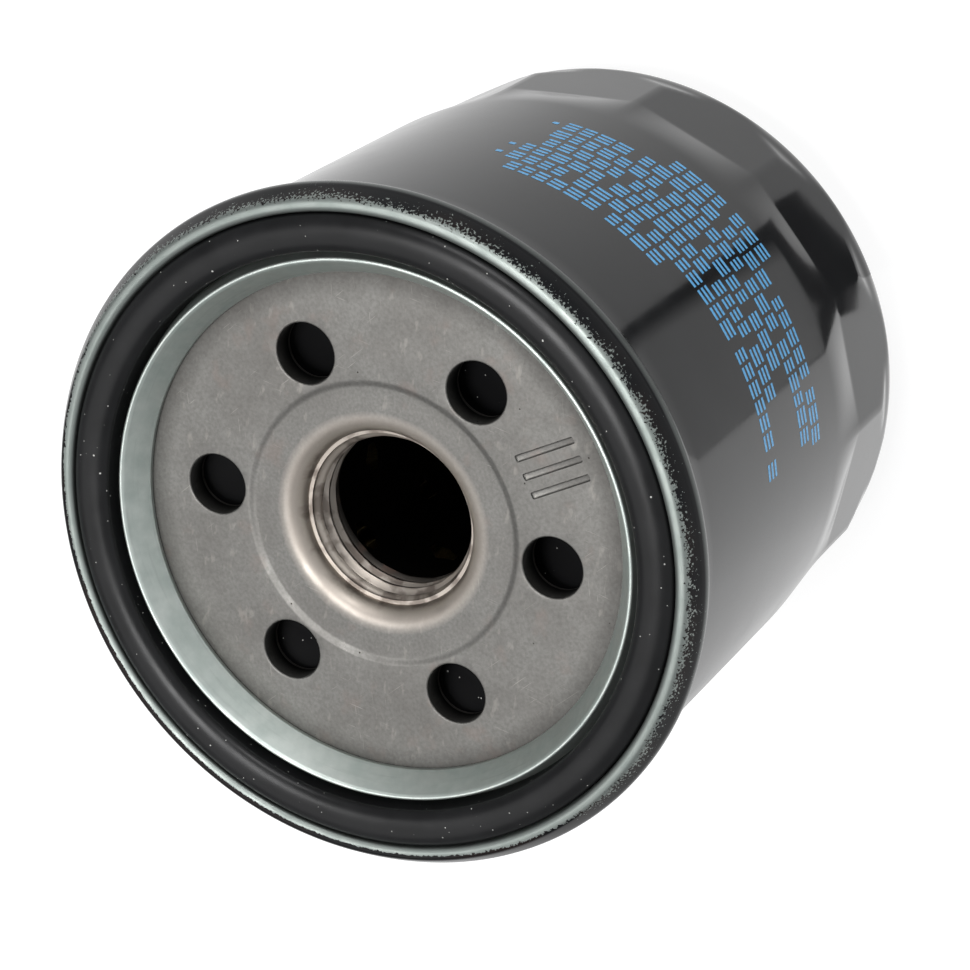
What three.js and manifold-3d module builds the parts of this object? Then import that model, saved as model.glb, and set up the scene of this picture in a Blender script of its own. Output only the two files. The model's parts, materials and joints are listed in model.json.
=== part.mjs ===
// Spin-on oil filter: a painted steel can, seamed to a gasket retainer and a threaded base plate,
// with a sprung pleated element, a bypass valve and an anti-drain valve inside.
// Millimetres. +Z up: the filter stands on its dome end with the threaded base plate on top.
// The origin is on the filter's axis, at the resting face of the dome.

import * as THREE from 'three';
import { mergeVertices } from 'three/addons/utils/BufferGeometryUtils.js';
import Module from 'manifold-3d';

const wasm = await Module();
wasm.setup();

// ---------------------------------------------------------------- driving dimensions

// Can
const canHeight = 74.4;          // resting face to the crown of the rolled seam
const canDiameter = 72.7;
const canSheet = 0.42;
const domePadRadius = 14;        // flat that the filter stands on
const domeRise = 1.3;            // from the pad up to the edge of the shoulder
const shoulderRadius = 7;
const shoulderTaper = 0.7;       // the can narrows by this much above the shoulder
const taperHeight = 4.2;         // over this height
const flatCount = 14;            // wrench flats
const flatTop = 28;              // where the flats start, above the resting face
const flatBlend = 8;             // height over which a flat sinks to its full depth

// Rolled seam and gasket retainer
const lidSheet = 0.58;
const seamGap = 0.03;            // between the rolled layers
const seamHeight = 5;
const seamCurl = 0.6;            // bend allowance inside the roll
const plateDepth = 4.9;          // seam crown down to the face of the base plate
const ridgeHeight = 3.5;         // retainer's inner ridge, above the base plate
const ridgeWidth = 3;

// Base plate
const plateThickness = 3;
const plateMargin = 1.3;         // between the plate's rim and the can
const dishRadius = 15.9;
const dishDepth = 0.25;
const threadMajor = 19.05;       // 3/4-16 UNF
const threadPitch = 25.4 / 16;
const threadDepth = 0.775;
const threadTurns = 3.5;
const collarWall = 2.4;
const entryRadius = 2.1;         // rounded mouth of the thread
const entryRelief = 0.4;         // the foot of the mouth is wider than the thread by this much
const inletCount = 6;
const inletDiameter = 6.8;
const inletCircle = 39.8;
const stampDepth = 0.25;

// Gasket
const gasketWidth = 4.1;
const gasketFit = 0.15;          // on each side of the gasket in its groove
const gasketProud = 0.3;         // above the seam crown
const gasketRound = 0.8;

// Element
const elementGap = 4.1;          // between the element and the can
const capSheet = 0.5;
const capSkirt = 2.5;
const capBoreFit = 0.7;          // between the base plate's collar and the cap's bore
const bossWidth = 2.6;           // raised land that carries the drain valve's boot
const domeSpace = 13.5;          // dome's resting face to the underside of the element
const adhesiveDepth = 1.2;
const pleatCount = 48;
const paperThickness = 0.5;
const tubeSheet = 0.5;
const tubeHole = 4;
const tubeHoleRows = 5;
const tubeHoleColumns = 6;

// Valves and springs
const valveBoot = 2.7;           // height of the drain valve's boot
const valveRubber = 1;
const valveLap = 2.7;            // how far the valve covers the plate beyond the inlets
const valveGap = 0.05;           // between a closed valve and its seat
const bypassPort = 12;
const cageHeight = 10.5;
const cageSpace = 1.4;           // round the poppet
const cageWindows = 4;
const sealThickness = 1;
const poppetLap = 2.2;           // beyond the edge of the port
const poppetSheet = 0.8;
const seatRing = 0.8;            // height of the valve seat above the end cap
const stemDiameter = 3.2;
const stemProud = 1.5;           // above the cage when the valve is shut
const bypassWire = 1;
const bypassTurns = 4.5;
const bypassCoilInset = 3;       // from the poppet's edge to the middle of the wire
const elementWire = 2;
const elementTurns = 3;
const elementCoil = 22;          // mean diameter of the element spring

// Fits
const runningFit = 0.3;          // between pieces that slide past each other
const contactGap = 0.02;         // between faces that rest on each other

const rimSides = 3 * flatCount;  // facets round the can, with an edge along every ridge
const innerSides = 36;
const smallSides = 24;

// ---------------------------------------------------------------- worked-out sizes

const canRadius = canDiameter / 2;
const canBore = canRadius - canSheet;
const shoulderTop = domeRise + shoulderRadius;
const wallOuter = canBore - seamGap;              // retainer's upright wall
const wallInner = wallOuter - lidSheet;
const hookInner = canRadius + seamGap;            // retainer's hook, under the can's flange
const hookOuter = hookInner + lidSheet;
const flangeInner = hookOuter + seamGap;          // can's flange, folded down
const flangeOuter = flangeInner + canSheet;
const skinInner = flangeOuter + seamGap;          // retainer's outer skin
const seamRadius = skinInner + lidSheet;
const gasketOuter = wallInner - gasketFit;
const gasketInner = gasketOuter - gasketWidth;
const ridgeOuter = gasketInner - gasketFit;
const lipRadius = ridgeOuter - ridgeWidth;        // inner edge of the retainer

const plateFace = canHeight - plateDepth;
const plateBack = plateFace - plateThickness;
const grooveFloor = plateFace + lidSheet;
const threadRadius = threadMajor / 2;
const threadCrest = threadRadius - threadDepth;
const collarRadius = threadRadius + collarWall;
const threadTop = plateFace - dishDepth - entryRadius;
const collarEnd = threadTop - threadTurns * threadPitch - threadPitch / 4;

const elementRadius = canBore - elementGap;
const elementBase = domeSpace;
const bootInner = collarRadius + runningFit;
const bootOuter = bootInner + 2.4;
const bootBase = collarEnd + runningFit;
const elementTop = bootBase - contactGap;
const bossEdge = bootInner + bossWidth;
const capFaceTop = elementTop - valveBoot / 2;    // the flat of the plate-end cap
const paperTop = capFaceTop - capSheet - adhesiveDepth;
const paperBase = elementBase + capSheet + adhesiveDepth;
const paperOuter = elementRadius - capSheet - 0.8;
const tubeRadius = bossEdge - 0.5 - runningFit;   // inside the cap's boss
const tubeTop = elementTop - capSheet - contactGap;
const seatFace = elementBase + capSheet;          // upper face of the dome-end cap

const portRadius = bypassPort / 2;
const poppetRadius = portRadius + poppetLap;
const cageRadius = poppetRadius + cageSpace + capSheet;
const cageTop = seatFace + cageHeight;
const seatTop = seatFace + seatRing;
const sealBase = seatTop + valveGap;
const poppetBase = sealBase + sealThickness + contactGap;
const poppetTop = poppetBase + poppetSheet;
const stemRadius = stemDiameter / 2;

// ---------------------------------------------------------------- shape helpers

function arc(centreR, centreZ, radius, fromDegrees, toDegrees, steps) {
  const points = [];
  for (let i = 0; i <= steps; i += 1) {
    const angle = THREE.MathUtils.degToRad(fromDegrees + ((toDegrees - fromDegrees) * i) / steps);
    points.push([centreR + radius * Math.cos(angle), centreZ + radius * Math.sin(angle)]);
  }
  return points;
}

// Turns the faces round where they point inwards.
function faceOutwards(geometry) {
  const place = geometry.attributes.position;
  const index = geometry.index.array;
  const [a, b, c] = [new THREE.Vector3(), new THREE.Vector3(), new THREE.Vector3()];
  let volume = 0;
  for (let i = 0; i < index.length; i += 3) {
    a.fromBufferAttribute(place, index[i]);
    b.fromBufferAttribute(place, index[i + 1]);
    c.fromBufferAttribute(place, index[i + 2]);
    volume += a.dot(b.cross(c));
  }
  if (volume < 0) {
    for (let i = 0; i < index.length; i += 3) [index[i], index[i + 1]] = [index[i + 1], index[i]];
  }
  return geometry;
}

function weld(geometry) {
  geometry.deleteAttribute('normal');
  geometry.deleteAttribute('uv');
  return faceOutwards(mergeVertices(geometry, 1e-4));
}

// Drops the triangles that have no area, which a profile's points on the axis leave.
function dropSlivers(geometry) {
  const index = geometry.index.array;
  const kept = [];
  for (let i = 0; i < index.length; i += 3) {
    const [a, b, c] = [index[i], index[i + 1], index[i + 2]];
    if (a !== b && b !== c && c !== a) kept.push(a, b, c);
  }
  geometry.setIndex(kept);
  return geometry;
}

// A closed outline of [radius, height] points, turned about Z.
function revolve(outline, sides) {
  const closed = outline[0][0] === 0 ? outline : [...outline, outline[0]];
  const points = closed.map(([r, z]) => new THREE.Vector2(r, z));
  const turned = new THREE.LatheGeometry(points, sides);
  turned.rotateX(Math.PI / 2);
  return dropSlivers(weld(turned));
}

function toSolid(geometry) {
  const mesh = new wasm.Mesh({
    numProp: 3,
    vertProperties: new Float32Array(geometry.attributes.position.array),
    triVerts: new Uint32Array(geometry.index.array),
  });
  return new wasm.Manifold(mesh);
}

function toGeometry(solid) {
  const mesh = solid.getMesh();
  const geometry = new THREE.BufferGeometry();
  geometry.setAttribute('position', new THREE.BufferAttribute(mesh.vertProperties, 3));
  geometry.setIndex(new THREE.BufferAttribute(mesh.triVerts, 1));
  return geometry;
}

// Cuts each of the tools out of the body.
function cut(body, tools) {
  return toGeometry(tools.reduce((solid, tool) => solid.subtract(toSolid(tool)), toSolid(body)));
}

// An upright prism with round sides, standing on z = base.
function post(radius, height, x, y, base, sides) {
  const cylinder = new THREE.CylinderGeometry(radius, radius, height, sides);
  cylinder.rotateX(Math.PI / 2);
  cylinder.translate(x, y, base + height / 2);
  return weld(cylinder);
}

// A prism that runs outwards along the radius at the given bearing.
function spoke(geometry, bearing, inner, outer, height) {
  geometry.translate((inner + outer) / 2, 0, height);
  geometry.rotateZ(bearing);
  return weld(geometry);
}

// A coil spring of round wire between two heights, with closed ends.
function coil(meanRadius, wire, turns, lower, upper) {
  const stepsPerTurn = 14;
  const steps = Math.round(turns * stepsPerTurn);
  const route = [];
  for (let i = 0; i <= steps; i += 1) {
    const angle = (2 * Math.PI * turns * i) / steps;
    const rise = THREE.MathUtils.smoothstep(i / steps, 0.08, 0.92) * 0.35 + (i / steps) * 0.65;
    const z = lower + wire / 2 + (upper - lower - wire) * rise;
    route.push(new THREE.Vector3(meanRadius * Math.cos(angle), meanRadius * Math.sin(angle), z));
  }
  const section = new THREE.Shape();
  const corners = 6;
  for (let k = 0; k <= corners; k += 1) {
    const angle = (2 * Math.PI * k) / corners;
    const point = [(wire / 2) * Math.cos(angle), (wire / 2) * Math.sin(angle)];
    if (k === 0) section.moveTo(...point);
    else section.lineTo(...point);
  }
  const path = new THREE.CatmullRomCurve3(route);
  return weld(new THREE.ExtrudeGeometry(section, { steps, extrudePath: path, curveSegments: 1 }));
}

function piece(name, geometry, finish) {
  const mesh = new THREE.Mesh(geometry, new THREE.MeshStandardMaterial(finish));
  mesh.name = name;
  return mesh;
}

// ---------------------------------------------------------------- finishes

const blackPaint = { color: 0x0d0e10, roughness: 0.22, metalness: 0 };
const zincPlate = { color: 0xa9b2ad, roughness: 0.35, metalness: 1 };
const bareSteel = { color: 0x8f8a86, roughness: 0.42, metalness: 1 };
const blackNitrile = { color: 0x1c1c1c, roughness: 0.62, metalness: 0 };
const tinPlate = { color: 0xb4b2ac, roughness: 0.4, metalness: 1 };
const springSteel = { color: 0x77756f, roughness: 0.35, metalness: 1 };
const filterPaper = { color: 0xd8c48c, roughness: 0.95, metalness: 0 };
const plastisol = { color: 0xc98a4a, roughness: 0.6, metalness: 0 };
const seamSealant = { color: 0x6b6f66, roughness: 0.8, metalness: 0 };

// ---------------------------------------------------------------- can and seam

// Outside radius of the round wall, which narrows towards the shoulder.
function wallRadius(z) {
  const narrowing = THREE.MathUtils.smoothstep(shoulderTop + taperHeight - z, 0, taperHeight);
  return canRadius - shoulderTaper * narrowing;
}

// Outside radius that the wrench flats leave at this bearing and height.
function flatRadius(bearing, z) {
  const pitch = (2 * Math.PI) / flatCount;
  const offset = bearing - pitch * Math.round(bearing / pitch);
  const chord = (canRadius * Math.cos(pitch / 2)) / Math.cos(offset);
  const share = THREE.MathUtils.clamp((flatTop - z) / flatBlend, 0, 1);
  const sunk = share * share * (1.5 - 0.5 * share);
  return canRadius - sunk * (canRadius - chord);
}

function makeCan() {
  const flangeTop = canHeight - lidSheet - seamCurl;
  const foldZ = flangeTop - canSheet;
  const flangeEnd = canHeight - seamHeight + lidSheet + seamCurl;
  const blendRows = [0, 0.25, 0.5, 0.75, 1].map((share) => flatTop - share * flatBlend);
  const taperRows = [1, 0.5].map((share) => shoulderTop + share * taperHeight);
  const shoulderCentre = wallRadius(shoulderTop) - shoulderRadius;
  const shoulder = arc(shoulderCentre, shoulderTop, shoulderRadius, 0, -90, 5);
  const outside = [
    [canRadius, foldZ - seamCurl],
    ...blendRows.map((z) => [canRadius, z]),
    ...taperRows.map((z) => [wallRadius(z), z]),
    ...shoulder,
    [domePadRadius, 0],
    [0, 0],
  ];
  const insideCorner = shoulderRadius - canSheet;
  const insideShoulder = arc(shoulderCentre, shoulderTop, insideCorner, -90, 0, 4);
  const inside = [
    [0, canSheet],
    [domePadRadius, canSheet],
    ...insideShoulder,
    ...[...taperRows].reverse().map((z) => [wallRadius(z) - canSheet, z]),
    ...[...blendRows].reverse().map((z) => [canBore, z]),
    [canBore, flangeTop - seamCurl],
    [canBore + seamCurl, flangeTop],
  ];
  const flange = [
    [flangeOuter - seamCurl / 2, flangeTop],
    [flangeOuter, flangeTop - seamCurl],
    [flangeOuter, flangeEnd],
    [flangeInner, flangeEnd],
    [flangeInner, foldZ - seamCurl],
    [flangeInner - seamCurl / 2, foldZ],
    [canRadius + seamCurl / 2, foldZ],
  ];
  const can = revolve([...inside, ...flange, ...outside], rimSides);
  const place = can.attributes.position;
  for (let i = 0; i < place.count; i += 1) {
    const [x, y, z] = [place.getX(i), place.getY(i), place.getZ(i)];
    const radius = Math.hypot(x, y);
    if (z > shoulderTop - 0.01 && z < flatTop) {
      const sheet = radius > wallRadius(z) - canSheet / 2 ? 0 : canSheet;
      const pressed = Math.min(1, (flatRadius(Math.atan2(y, x), z) - sheet) / radius);
      place.setXY(i, x * pressed, y * pressed);
    }
  }
  return can;
}

function makeRetainer() {
  const seamFoot = canHeight - seamHeight;
  const curlTop = canHeight - lidSheet - 2 * seamCurl - canSheet;
  const ridgeTop = plateFace + ridgeHeight;
  const ridgeCrown = lipRadius + 0.68 * ridgeWidth;
  const crownHalf = 0.35;
  const upper = [
    [lipRadius, plateFace + contactGap],
    [lipRadius, grooveFloor - 0.15],
    [ridgeCrown - crownHalf, ridgeTop - 0.3],
    [ridgeCrown, ridgeTop],
    [ridgeCrown + crownHalf, ridgeTop - 0.3],
    [ridgeOuter - 0.2, grooveFloor + 0.5],
    [ridgeOuter + 0.15, grooveFloor],
    [wallInner - 0.4, grooveFloor],
    [wallInner, grooveFloor + 0.4],
    [wallInner, canHeight - 0.6],
    [wallInner + 0.3, canHeight - 0.15],
    [wallInner + 0.8, canHeight],
    [skinInner - 0.4, canHeight - 0.3],
    [seamRadius - 0.3, canHeight - 1.1],
    [seamRadius, canHeight - 2.1],
    [seamRadius, seamFoot + 1.3],
    [seamRadius - 0.42, seamFoot + 0.35],
    [hookOuter, seamFoot],
    [hookInner, seamFoot + 0.25],
  ];
  const lower = [
    [hookInner, curlTop],
    [hookOuter, curlTop],
    [hookOuter, seamFoot + lidSheet],
    [skinInner, seamFoot + lidSheet + 0.3],
    [skinInner, canHeight - lidSheet - seamCurl - 0.2],
    [skinInner - 0.5, canHeight - lidSheet - 0.1],
    [wallOuter + 0.3, canHeight - lidSheet],
    [wallOuter, canHeight - lidSheet - 0.4],
    [wallOuter, plateFace + 0.6],
    [wallOuter - 0.6, plateFace + contactGap],
    [ridgeOuter - 0.35, plateFace + contactGap],
    [ridgeCrown, ridgeTop - lidSheet - 0.15],
    [lipRadius + 0.6, plateFace + contactGap],
  ];
  return revolve([...upper, ...lower], rimSides);
}

// Sealing compound that fills the top of the rolled seam, between the flange and the retainer.
function makeSeamCompound() {
  const top = canHeight - lidSheet - 0.15;
  const base = canHeight - lidSheet - seamCurl + seamGap;
  const inner = canBore + seamCurl;
  const outer = skinInner - 0.7;
  return revolve([[inner, base], [outer, base], [outer, top], [inner, top]], rimSides);
}

function makeGasket() {
  const [inner, outer] = [gasketInner, gasketOuter];
  const top = canHeight + gasketProud;
  const base = grooveFloor + contactGap;
  const outline = [
    [inner + 0.35, base],
    [outer - 0.35, base],
    [outer, base + 0.6],
    ...arc(outer - gasketRound, top - gasketRound, gasketRound, 0, 90, 3),
    ...arc(inner + gasketRound, top - gasketRound, gasketRound, 90, 180, 3),
    [inner, base + 0.6],
  ];
  return revolve(outline, rimSides);
}

// ---------------------------------------------------------------- base plate

function makeBasePlate() {
  const dishFace = plateFace - dishDepth;
  const entryCentre = threadRadius + entryRelief + entryRadius;
  const thread = [];
  for (let turn = 0; turn < threadTurns; turn += 1) {
    const top = threadTop - turn * threadPitch;
    thread.push([threadCrest, top - threadPitch / 8]);
    thread.push([threadCrest, top - threadPitch / 4]);
    thread.push([threadRadius, top - threadPitch * 0.7]);
  }
  const rim = canBore - plateMargin;
  const outline = [
    [rim, plateFace],
    [dishRadius, plateFace],
    [dishRadius - 1, dishFace],
    ...arc(entryCentre, threadTop, entryRadius, 90, 180, 4),
    ...thread,
    [threadRadius, collarEnd],
    [collarRadius - 0.3, collarEnd],
    [collarRadius, collarEnd + 0.3],
    [collarRadius, plateBack - dishDepth - 1.2],
    [collarRadius + 1.2, plateBack - dishDepth],
    [dishRadius, plateBack - dishDepth],
    [dishRadius + 1, plateBack],
    [rim, plateBack],
  ];
  const plate = revolve(outline, rimSides);
  const tools = [];
  for (let i = 0; i < inletCount; i += 1) {
    const bearing = (2 * Math.PI * i) / inletCount;
    const [x, y] = [(inletCircle / 2) * Math.cos(bearing), (inletCircle / 2) * Math.sin(bearing)];
    const reach = plateThickness + 2;
    tools.push(post(inletDiameter / 2, reach, x, y, plateBack - 1, 12));
  }
  // A plain stamped mark of three bars, between two inlets.
  for (const sideways of [-1.6, 0, 1.6]) {
    const bar = new THREE.BoxGeometry(4.6, 0.5, 1);
    bar.translate(0, sideways, 0);
    const middle = (dishRadius + lipRadius) / 2;
    const height = plateFace - stampDepth + 0.5;
    tools.push(spoke(bar, -Math.PI / 2, middle, middle, height));
  }
  return cut(plate, tools);
}

// ---------------------------------------------------------------- element

function makePlateEndCap() {
  const skirtBase = capFaceTop - capSkirt;
  const bore = collarRadius + capBoreFit;
  return revolve([
    [bore, elementTop],
    [bossEdge, elementTop],
    [bossEdge + 0.8, capFaceTop],
    [elementRadius, capFaceTop],
    [elementRadius, skirtBase],
    [elementRadius - capSheet, skirtBase],
    [elementRadius - capSheet, capFaceTop - capSheet],
    [bossEdge + 0.3, capFaceTop - capSheet],
    [bossEdge - 0.5, elementTop - capSheet],
    [bore, elementTop - capSheet],
  ], innerSides);
}

function makeDomeEndCap() {
  const skirtTop = seatFace + capSkirt - capSheet;
  return revolve([
    [portRadius, elementBase],
    [elementRadius, elementBase],
    [elementRadius, skirtTop],
    [elementRadius - capSheet, skirtTop],
    [elementRadius - capSheet, seatFace],
    [portRadius, seatFace],
  ], innerSides);
}

function makeAdhesive(base) {
  const inner = tubeRadius + runningFit;
  const outer = elementRadius - capSheet - contactGap;
  const top = base + adhesiveDepth - 2 * contactGap;
  const slope = 0.3;
  return revolve([
    [inner, base],
    [outer, base],
    [outer, top],
    [outer - slope, top],
    [inner, top],
  ], innerSides);
}

function makePleatedMedia() {
  const [inner, outer] = [tubeRadius + 0.4, paperOuter];
  const pitch = (2 * Math.PI) / pleatCount;
  const wall = paperThickness / 2;
  // At a fold the sheet's two faces part by its thickness over the slope of the fold.
  const fold = wall * 2.6;
  const wave = (shift) => {
    const points = [];
    for (let i = 0; i < pleatCount; i += 1) {
      const tip = outer - fold + shift * fold;
      const root = inner + fold + shift * fold;
      points.push(new THREE.Vector2(tip * Math.cos(i * pitch), tip * Math.sin(i * pitch)));
      const half = (i + 0.5) * pitch;
      points.push(new THREE.Vector2(root * Math.cos(half), root * Math.sin(half)));
    }
    return points;
  };
  const sheet = new THREE.Shape(wave(1));
  sheet.holes.push(new THREE.Path(wave(-1)));
  const depth = paperTop - paperBase;
  const pleats = new THREE.ExtrudeGeometry(sheet, { depth, bevelEnabled: false });
  pleats.translate(0, 0, paperBase);
  return weld(pleats);
}

// Folded tin channel that grips the paper's joined edges, over one pleat's tip.
function makeSeamClip() {
  const wall = 0.4;
  const half = 0.95;
  const depth = 3.8;
  const tip = paperOuter + runningFit;
  const channel = new THREE.Shape([
    [tip - depth, half],
    [tip, half],
    [tip, -half],
    [tip - depth, -half],
    [tip - depth, -half - wall],
    [tip + wall, -half - wall],
    [tip + wall, half + wall],
    [tip - depth, half + wall],
  ].map(([x, y]) => new THREE.Vector2(x, y)));
  const clearOfSkirt = capSkirt + 0.5;
  const base = elementBase + clearOfSkirt;
  const length = capFaceTop - clearOfSkirt - base;
  const clip = new THREE.ExtrudeGeometry(channel, { depth: length, bevelEnabled: false });
  clip.translate(0, 0, base);
  return weld(clip);
}

function makeCentreTube() {
  const [base, top] = [seatFace + contactGap, tubeTop];
  const bore = tubeRadius - tubeSheet;
  const tube = revolve([[bore, base], [tubeRadius, base], [tubeRadius, top], [bore, top]], smallSides);
  const tools = [];
  const rowPitch = (top - base) / (tubeHoleRows + 1);
  for (let row = 1; row <= tubeHoleRows; row += 1) {
    for (let column = 0; column < tubeHoleColumns; column += 1) {
      const drill = new THREE.CylinderGeometry(tubeHole / 2, tubeHole / 2, 3, 6);
      drill.rotateZ(Math.PI / 2);
      const bearing = (2 * Math.PI * (column + (row % 2) / 2 + 0.25)) / tubeHoleColumns;
      tools.push(spoke(drill, bearing, tubeRadius, tubeRadius, base + row * rowPitch));
    }
  }
  return cut(tube, tools);
}

// ---------------------------------------------------------------- valves and springs

function makeAntiDrainValve() {
  const rim = inletCircle / 2 + inletDiameter / 2 + valveLap;
  const rimTop = plateBack - valveGap;
  const lipHeight = 0.6;
  return revolve([
    [bootInner, bootBase],
    [bootOuter, bootBase],
    [bootOuter, bootBase + valveBoot - 1.4],
    [rim - 0.4, rimTop - lipHeight - valveRubber],
    [rim, rimTop - lipHeight],
    [rim - 0.3, rimTop],
    [rim - 1.3, rimTop],
    [rim - 1.7, rimTop - lipHeight],
    [bootOuter, bootBase + valveBoot],
    [bootInner, bootBase + valveBoot],
  ], innerSides);
}

function makeBypassSeat() {
  const outer = cageRadius - capSheet - runningFit;
  const base = seatFace + contactGap;
  return revolve([
    [portRadius, base],
    [outer, base],
    [outer, seatTop - 0.4],
    [portRadius + poppetLap, seatTop],
    [portRadius + 0.4, seatTop],
    [portRadius, seatTop - 0.4],
  ], smallSides);
}

function makeBypassSeal() {
  const [inner, outer] = [portRadius - 0.6, poppetRadius - 0.3];
  const top = sealBase + sealThickness;
  return revolve([[inner, sealBase], [outer, sealBase], [outer, top], [inner, top]], smallSides);
}

function makeBypassPoppet() {
  const stemTop = cageTop + stemProud;
  return revolve([
    [0, poppetBase],
    [poppetRadius, poppetBase],
    [poppetRadius, poppetTop],
    [stemRadius + 0.5, poppetTop],
    [stemRadius, poppetTop + 0.5],
    [stemRadius, stemTop - 0.4],
    [stemRadius - 0.4, stemTop],
    [0, stemTop],
  ], smallSides);
}

// Stamped cage, with a flange on the end cap, windows in its wall and a guide hole for the stem.
function makeBypassCage() {
  const base = seatFace + contactGap;
  const guide = stemRadius + runningFit;
  const flange = tubeRadius - tubeSheet - 1;
  const bore = cageRadius - capSheet;
  const cage = revolve([
    [bore, base],
    [flange, base],
    [flange, base + capSheet],
    [cageRadius, base + capSheet],
    [cageRadius, cageTop - 0.6],
    [cageRadius - 0.6, cageTop],
    [guide, cageTop],
    [guide, cageTop - capSheet],
    [bore - 0.4, cageTop - capSheet],
    [bore, cageTop - capSheet - 0.4],
  ], smallSides);
  const sill = 1.5;
  const windowHeight = cageHeight - 3;
  const middle = base + sill + windowHeight / 2;
  const tools = [];
  for (let i = 0; i < cageWindows; i += 1) {
    const bearing = (2 * Math.PI * (i + 0.5)) / cageWindows;
    const opening = new THREE.BoxGeometry(4, 8, windowHeight);
    tools.push(spoke(opening, bearing, cageRadius - 0.5, cageRadius - 0.5, middle));
  }
  return cut(cage, tools);
}

// Pressed dish between the element spring and the dome-end cap.
function makeSpringSeat() {
  const top = elementBase - contactGap;
  const bore = portRadius + 1;
  const outer = elementCoil / 2 + elementWire / 2 + 3;
  const hub = elementCoil / 2 - elementWire / 2 - runningFit;
  return revolve([
    [bore, top],
    [outer, top],
    [outer, top - 1],
    [outer - capSheet, top - 1],
    [outer - capSheet, top - capSheet],
    [hub, top - capSheet],
    [hub - 0.5, top - capSheet - 1],
    [bore, top - capSheet - 1],
  ], innerSides);
}

// ---------------------------------------------------------------- assembly

const elementSpringTop = elementBase - capSheet - 2 * contactGap;
const elementSpring = coil(elementCoil / 2, elementWire, elementTurns, canSheet + 0.1, elementSpringTop);
const bypassCoil = poppetRadius - bypassCoilInset;
const [springBase, springTop] = [poppetTop + contactGap, cageTop - capSheet - contactGap];
const bypassSpring = coil(bypassCoil, bypassWire, bypassTurns, springBase, springTop);
const domeEndAdhesive = makeAdhesive(seatFace + contactGap);
const plateEndAdhesive = makeAdhesive(paperTop + contactGap);

const housing = new THREE.Group();
housing.add(
  piece('can', makeCan(), blackPaint),
  piece('gasket_retainer', makeRetainer(), zincPlate),
  piece('seam_compound', makeSeamCompound(), seamSealant),
  piece('gasket', makeGasket(), blackNitrile),
  piece('base_plate', makeBasePlate(), bareSteel),
  piece('anti_drain_valve', makeAntiDrainValve(), blackNitrile),
  piece('element_spring', elementSpring, springSteel),
);

const element = new THREE.Group();
element.add(
  piece('plate_end_cap', makePlateEndCap(), tinPlate),
  piece('plate_end_adhesive', plateEndAdhesive, plastisol),
  piece('pleated_media', makePleatedMedia(), filterPaper),
  piece('pleat_seam_clip', makeSeamClip(), tinPlate),
  piece('centre_tube', makeCentreTube(), tinPlate),
  piece('dome_end_adhesive', domeEndAdhesive, plastisol),
  piece('dome_end_cap', makeDomeEndCap(), tinPlate),
  piece('spring_seat', makeSpringSeat(), tinPlate),
);

const bypass = new THREE.Group();
bypass.add(
  piece('bypass_seat', makeBypassSeat(), bareSteel),
  piece('bypass_seal', makeBypassSeal(), blackNitrile),
  piece('bypass_poppet', makeBypassPoppet(), tinPlate),
  piece('bypass_spring', bypassSpring, springSteel),
  piece('bypass_cage', makeBypassCage(), tinPlate),
);

const group = new THREE.Group();
group.add(housing, element, bypass);

export default group;
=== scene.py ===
"""Spin-on oil filter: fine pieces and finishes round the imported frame.

Lengths in outlines and constants are millimetres. Those in FilterSizes and in Blender's calls are metres."""
import json
import math
import random

import bpy
from bpy.props import FloatProperty, FloatVectorProperty, IntProperty, PointerProperty
from mathutils import Matrix, Vector


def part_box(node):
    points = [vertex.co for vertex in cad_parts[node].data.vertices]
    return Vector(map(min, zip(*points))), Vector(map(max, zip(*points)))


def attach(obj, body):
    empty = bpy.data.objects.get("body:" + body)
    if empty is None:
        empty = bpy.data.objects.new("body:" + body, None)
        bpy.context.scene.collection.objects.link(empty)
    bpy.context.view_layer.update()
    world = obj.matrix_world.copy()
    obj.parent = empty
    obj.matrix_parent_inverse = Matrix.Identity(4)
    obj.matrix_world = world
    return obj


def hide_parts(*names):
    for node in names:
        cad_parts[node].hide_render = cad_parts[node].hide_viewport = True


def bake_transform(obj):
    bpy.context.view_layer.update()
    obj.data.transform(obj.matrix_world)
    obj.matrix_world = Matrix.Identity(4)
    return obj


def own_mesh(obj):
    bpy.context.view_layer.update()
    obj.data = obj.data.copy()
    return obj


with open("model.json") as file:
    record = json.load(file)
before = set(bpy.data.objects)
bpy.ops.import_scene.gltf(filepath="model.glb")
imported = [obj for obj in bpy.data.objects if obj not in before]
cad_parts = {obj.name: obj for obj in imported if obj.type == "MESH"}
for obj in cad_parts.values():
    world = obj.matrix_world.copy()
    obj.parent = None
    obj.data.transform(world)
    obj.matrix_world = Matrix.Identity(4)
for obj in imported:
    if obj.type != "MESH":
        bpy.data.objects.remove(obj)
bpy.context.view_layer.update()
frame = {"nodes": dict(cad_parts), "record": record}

bl_info = {
    "name": "Spin-on oil filter",
    "version": (1, 0, 0),
    "blender": (4, 5, 0),
    "location": "View3D > Sidebar > Oil filter",
    "description": "Builds a spin-on oil filter round its packed frame",
    "category": "Object",
}

MM = 0.001


def high(node):
    """The top of a CAD node in millimetres."""
    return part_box(node)[1].z / MM


def low(node):
    """The underside of a CAD node in millimetres."""
    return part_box(node)[0].z / MM


def reach(node):
    """The radius of a round CAD node in millimetres."""
    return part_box(node)[1].y / MM


CROWN = high("gasket_retainer")      # top of the rolled seam
PLATE_FACE = high("base_plate")
GASKET_TOP = high("gasket")
COLLAR_END = low("base_plate")
SEAM_RADIUS = reach("gasket_retainer")
SEAM_FOOT = low("gasket_retainer")


# ---------------------------------------------------------------- sizes and colours


def length_property(name, description, metres):
    """A length that a user would change."""
    return FloatProperty(name=name, description=description, default=metres, unit="LENGTH")


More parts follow.
